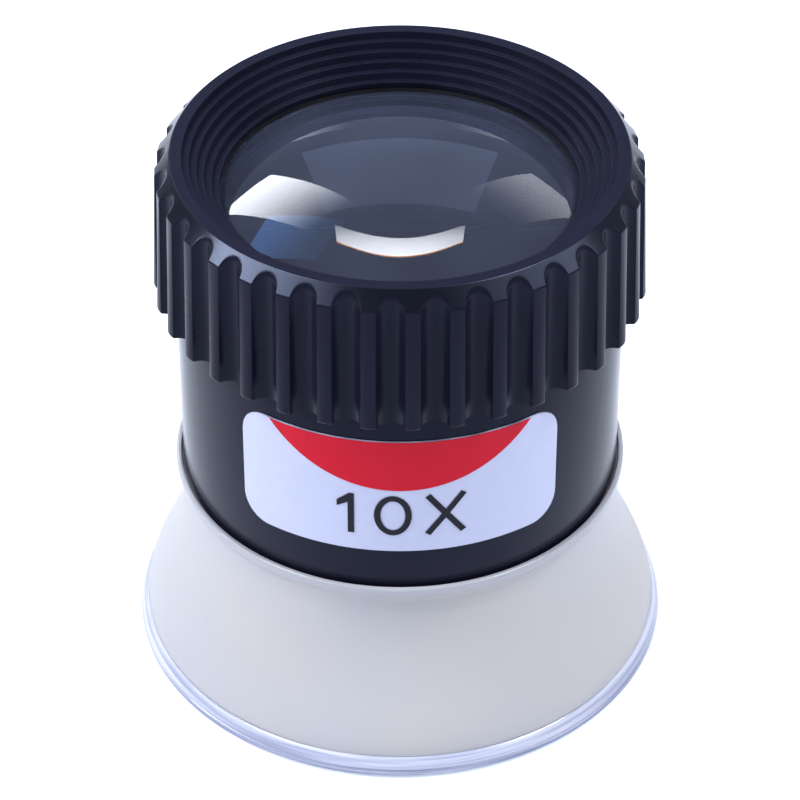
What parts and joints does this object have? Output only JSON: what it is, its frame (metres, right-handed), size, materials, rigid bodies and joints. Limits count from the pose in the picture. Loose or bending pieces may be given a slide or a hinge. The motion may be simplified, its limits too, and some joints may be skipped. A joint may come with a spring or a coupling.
{
  "type": "viewing loupe",
  "caption": "Stand loupe: clear flared skirt, black barrel with a label, and a fluted focus ring that screws up and down and carries a lens cell.",
  "frame": {"origin": "centre of the foot, on the surface that the loupe stands on", "axes": "+Z is the optical axis and points up to the eye; the label faces -Y"},
  "size_m": [0.048, 0.048, 0.0503],
  "materials": {
    "clear_plastic": "milky clear acrylic, polished at the foot ring",
    "black_gloss_plastic": "gloss black moulded plastic",
    "black_satin_plastic": "satin black moulded plastic",
    "black_anodised": "black anodised, matt",
    "lens_glass": "polished optical glass",
    "label_film": "smooth white film label with a printed red band"
  },
  "bodies": {
    "stand": {"clear_skirt": "clear_plastic", "barrel": "black_gloss_plastic", "label": "label_film"},
    "optics": {"lens_cell": "black_anodised", "eye_lens": "lens_glass", "lens_spacer": "black_anodised", "field_lens": "lens_glass", "lens_retainer": "black_anodised"},
    "eyepiece": {"focus_ring": "black_satin_plastic"}
  },
  "joints": [
    {"name": "focus_lift", "type": "slide", "parent": "stand", "child": "optics", "axis": [0, 0, 1], "range_m": [0, 0.004]},
    {"name": "focus_turn", "type": "hinge", "parent": "optics", "child": "eyepiece", "pos_m": [0, 0, 0.04], "axis": [0, 0, 1], "range_deg": [0, 300]}
  ],
  "couplings": [
    {"joint": "focus_turn", "follows": "focus_lift", "rad_per_m": 1309}
  ]
}
